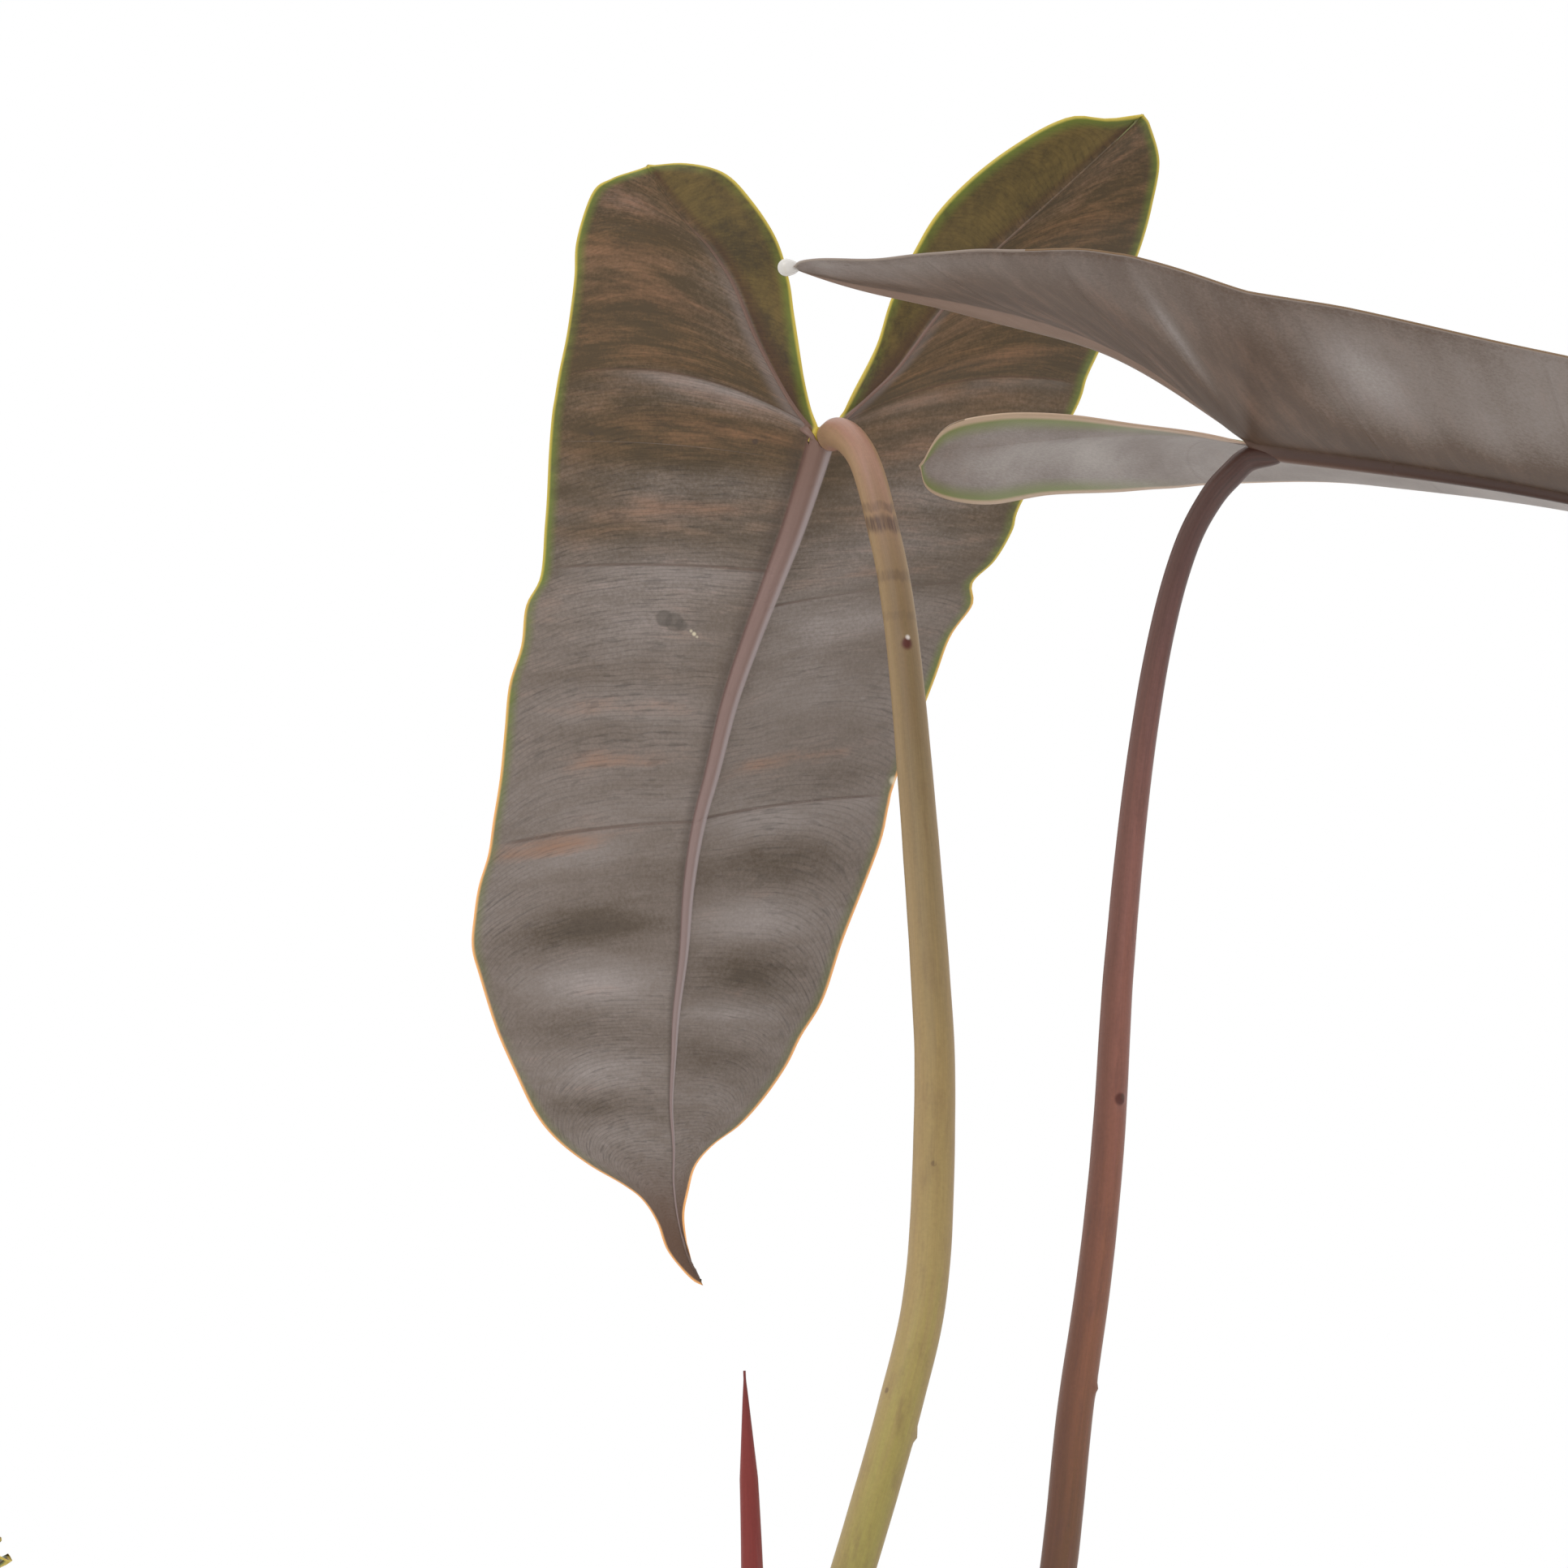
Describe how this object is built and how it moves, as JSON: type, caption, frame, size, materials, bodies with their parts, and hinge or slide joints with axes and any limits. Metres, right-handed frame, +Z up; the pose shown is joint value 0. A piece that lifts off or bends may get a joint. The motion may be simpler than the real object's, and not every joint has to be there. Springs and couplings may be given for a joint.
{
  "type": "potted philodendron hybrid",
  "caption": "Arrow-leaved aroid house plant with a short upright stem, arching leaf stalks, a rolled new leaf and leathery blades, growing in a plain round plastic pot of soil.",
  "frame": {"origin": "middle of the pot's flat underside", "axes": "+Z up along the pot's axis, -Y towards the picture's camera, +X to its right"},
  "size_m": [0.5518, 0.4106, 0.5311],
  "materials": {
    "blade": "satin",
    "olive_stalk": "satin",
    "wine_stalk": "satin",
    "stem": "satin",
    "new_leaf": "satin",
    "cataphyll": "satin",
    "pot": "matte",
    "potting_soil": "matte"
  },
  "bodies": {
    "root": {"stem": "stem", "blade_1": "blade", "blade_2": "blade", "blade_3": "blade", "blade_4": "blade", "blade_5": "blade", "blade_6": "blade", "blade_7": "blade", "petiole_1": "olive_stalk", "petiole_2": "wine_stalk", "petiole_3": "wine_stalk", "petiole_4": "olive_stalk", "petiole_5": "olive_stalk", "petiole_6": "olive_stalk", "petiole_7": "olive_stalk", "new_leaf": "new_leaf", "cataphyll": "cataphyll", "pot": "pot", "potting_soil": "potting_soil"}
  },
  "joints": []
}
